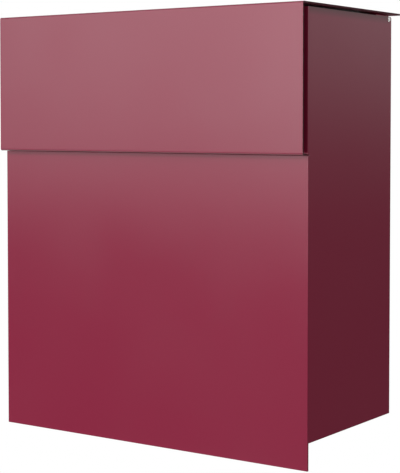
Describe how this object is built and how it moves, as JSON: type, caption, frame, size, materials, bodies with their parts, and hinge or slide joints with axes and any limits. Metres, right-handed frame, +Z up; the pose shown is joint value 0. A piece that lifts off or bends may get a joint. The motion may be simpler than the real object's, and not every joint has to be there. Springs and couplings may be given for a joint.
{
  "type": "wall mounted post box",
  "caption": "Wall letter box of folded sheet metal with a deep-skirted lift-up lid, a plain swing-down front door with a hidden cam lock, and spacers behind.",
  "frame": {"origin": "on the wall plane, at the centre of the pattern of four wall holes", "axes": "+X to the viewer's right, +Y into the wall, +Z up; the lid's skirt and the door face -Y"},
  "size_m": [0.3204, 0.1707, 0.3727],
  "materials": {
    "red_paint": "satin powder coat",
    "bright_steel": "zinc plated",
    "lock_chrome": "polished",
    "spacer_plastic": "moulded",
    "buffer_rubber": "matt"
  },
  "bodies": {
    "case": {"base_tray": "red_paint", "body_shell": "red_paint", "front_header": "red_paint", "guard_rivets": "bright_steel", "header_bracket_left": "red_paint", "header_bracket_right": "red_paint", "hinge_bracket_left": "red_paint", "hinge_bracket_right": "red_paint", "hinge_rivets": "bright_steel", "inner_roof": "red_paint", "lid_buffer_left": "buffer_rubber", "lid_buffer_right": "buffer_rubber", "lock_housing": "lock_chrome", "lock_nut": "bright_steel", "mail_guard": "red_paint", "wall_spacer_lower_left": "spacer_plastic", "wall_spacer_lower_right": "spacer_plastic", "wall_spacer_upper_left": "spacer_plastic", "wall_spacer_upper_right": "spacer_plastic"},
    "lid": {"lid_ear_left": "red_paint", "lid_ear_right": "red_paint", "lid_panel": "red_paint", "lid_pin_left": "bright_steel", "lid_pin_right": "bright_steel"},
    "door": {"door_lug_left": "red_paint", "door_lug_right": "red_paint", "door_panel": "red_paint", "door_pin_left": "bright_steel", "door_pin_right": "bright_steel", "door_stile_left": "red_paint", "door_stile_right": "red_paint", "door_top_rail": "red_paint", "letter_catcher": "red_paint"},
    "lock": {"cam_screw": "bright_steel", "lock_cam": "bright_steel", "lock_plug": "lock_chrome"}
  },
  "joints": [
    {"name": "lid_hinge", "type": "hinge", "parent": "case", "child": "lid", "pos_m": [0, -0.024, 0.17115], "axis": [-1, 0, 0], "range_deg": [0, 50]},
    {"name": "door_hinge", "type": "hinge", "parent": "case", "child": "door", "pos_m": [0, -0.1562, -0.1794], "axis": [1, 0, 0], "range_deg": [0, 110]},
    {"name": "lock_turn", "type": "hinge", "parent": "case", "child": "lock", "pos_m": [0, -0.1622, 0.0858], "axis": [0, 1, 0], "range_deg": [0, 90]}
  ]
}
